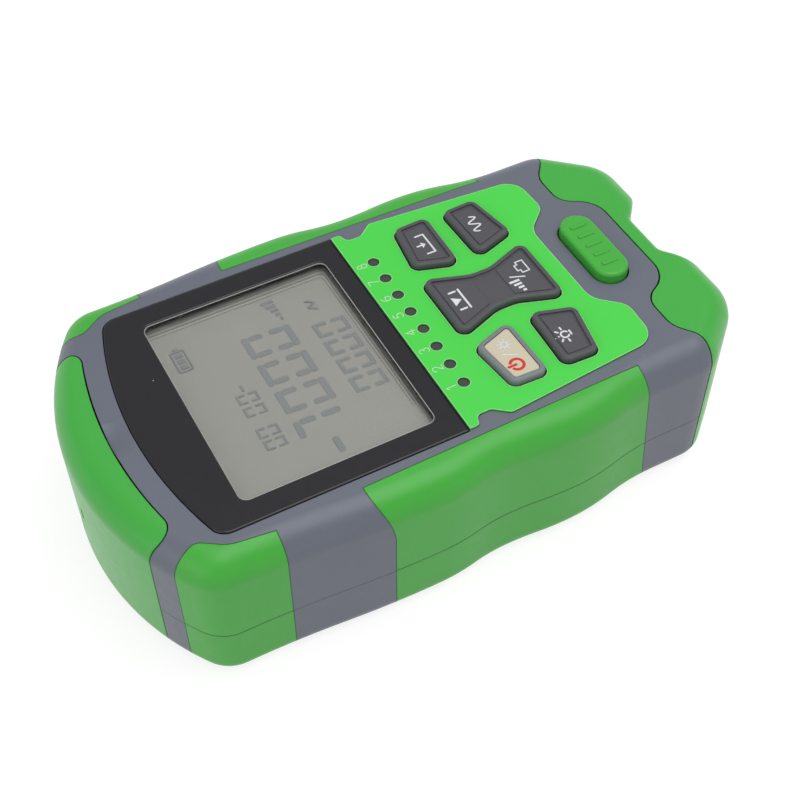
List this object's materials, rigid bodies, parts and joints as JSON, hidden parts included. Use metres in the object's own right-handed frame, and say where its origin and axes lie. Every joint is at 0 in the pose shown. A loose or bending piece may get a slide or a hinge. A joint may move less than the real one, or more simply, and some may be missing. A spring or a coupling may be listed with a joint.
{
  "type": "optical power meter",
  "caption": "Handheld fibre optic power meter and cable tester with display, keypad, hinged port cover, wavy two-tone grip and a slide-off remote unit at its end.",
  "frame": {"origin": "under the middle of the casing, on the surface that its back lies on", "axes": "+X to the reader's right, +Y towards the display end, +Z out of the front face"},
  "size_m": [0.0672, 0.1176, 0.0322],
  "materials": {
    "shell_grey": "fine moulded texture",
    "pad_green": "soft matt",
    "cover_green": "fine moulded texture",
    "overlay_green": "smooth printed film",
    "bezel_black": "polished",
    "clear_lens": "clear",
    "lcd_grey": "satin display glass",
    "light_white": "satin",
    "key_charcoal": "soft matt",
    "key_light": "soft matt",
    "insert_cream": "satin",
    "window_dark": "smoked",
    "mat_grey": "translucent silicone",
    "board_green": "lacquered laminate",
    "chip_black": "moulded epoxy",
    "led_white": "clear package",
    "port_nickel": "nickel plate",
    "port_steel": "turned",
    "sensor_can": "gold plate",
    "jack_black": "moulded",
    "contact_gold": "gold plate",
    "torch_clear": "clear epoxy",
    "cell_wrap": "plain shrink wrap over a steel can",
    "spring_steel": "drawn wire",
    "screw_steel": "black zinc"
  },
  "bodies": {
    "meter": {"front_shell": "shell_grey", "rear_shell": "shell_grey", "screen_bezel": "bezel_black", "display_lens": "clear_lens", "lcd_panel": "lcd_grey", "back_light": "light_white", "keypad_overlay": "overlay_green", "indicator_windows": "window_dark", "indicator_leds": "led_white", "keypad_mat": "mat_grey", "main_board": "board_green", "controller_chip": "chip_black", "amplifier_chip": "chip_black", "buzzer": "chip_black", "power_port": "port_nickel", "laser_port": "port_nickel", "photodiode": "sensor_can", "laser_module": "port_steel", "network_jack": "jack_black", "jack_contacts": "contact_gold", "torch_lamp": "torch_clear", "battery_cell_1": "cell_wrap", "battery_cell_2": "cell_wrap", "battery_cell_3": "cell_wrap", "battery_springs": "spring_steel", "battery_plates": "spring_steel", "case_screws": "screw_steel", "cover_hinge_pin": "spring_steel", "release_springs": "spring_steel", "grip_pad_front_left": "pad_green", "grip_pad_front_right": "pad_green", "grip_pad_rear_left": "pad_green", "grip_pad_rear_right": "pad_green", "corner_pad_front_left": "pad_green", "corner_pad_front_right": "pad_green", "corner_pad_rear_left": "pad_green", "corner_pad_rear_right": "pad_green"},
    "save_key_body": {"save_key": "key_charcoal"},
    "wavelength_key_body": {"wavelength_key": "key_charcoal"},
    "power_key_body": {"power_key": "key_light", "power_key_insert": "insert_cream"},
    "lamp_key_body": {"lamp_key": "key_charcoal"},
    "rocker_key_body": {"rocker_key": "key_charcoal"},
    "release_button_body": {"press_button": "pad_green"},
    "cover": {"port_cover": "cover_green"},
    "door": {"battery_door": "shell_grey"},
    "remote": {"remote_housing": "cover_green", "remote_jack": "jack_black", "remote_contacts": "contact_gold", "remote_board": "board_green"}
  },
  "joints": [
    {"name": "save_key_press", "type": "slide", "parent": "meter", "child": "save_key_body", "axis": [0, 0, -1], "range_m": [0, 0.0009], "stiffness_N_per_m": 600, "springref_m": -0.0005},
    {"name": "wavelength_key_press", "type": "slide", "parent": "meter", "child": "wavelength_key_body", "axis": [0, 0, -1], "range_m": [0, 0.0009], "stiffness_N_per_m": 600, "springref_m": -0.0005},
    {"name": "power_key_press", "type": "slide", "parent": "meter", "child": "power_key_body", "axis": [0, 0, -1], "range_m": [0, 0.0009], "stiffness_N_per_m": 600, "springref_m": -0.0005},
    {"name": "lamp_key_press", "type": "slide", "parent": "meter", "child": "lamp_key_body", "axis": [0, 0, -1], "range_m": [0, 0.0009], "stiffness_N_per_m": 600, "springref_m": -0.0005},
    {"name": "rocker_key_tilt", "type": "hinge", "parent": "meter", "child": "rocker_key_body", "pos_m": [0, -0.0204, 0.027], "axis": [1, 0, 0], "range_deg": [-3, 3], "stiffness_Nm_per_rad": 0.2},
    {"name": "release_button_press", "type": "slide", "parent": "meter", "child": "release_button_body", "axis": [0, 0, -1], "range_m": [0, 0.0012], "stiffness_N_per_m": 900, "springref_m": -0.0008, "deforming": ["release_springs"]},
    {"name": "port_cover_hinge", "type": "hinge", "parent": "meter", "child": "cover", "pos_m": [0, 0.0562, 0.0032], "axis": [-1, 0, 0], "range_deg": [0, 90]},
    {"name": "remote_slide", "type": "slide", "parent": "meter", "child": "remote", "axis": [0, -1, 0], "range_m": [0, 0.026]},
    {"name": "battery_door_hinge", "type": "hinge", "parent": "meter", "child": "door", "pos_m": [0, 0.0298, 0], "axis": [1, 0, 0], "range_deg": [0, 70]}
  ]
}
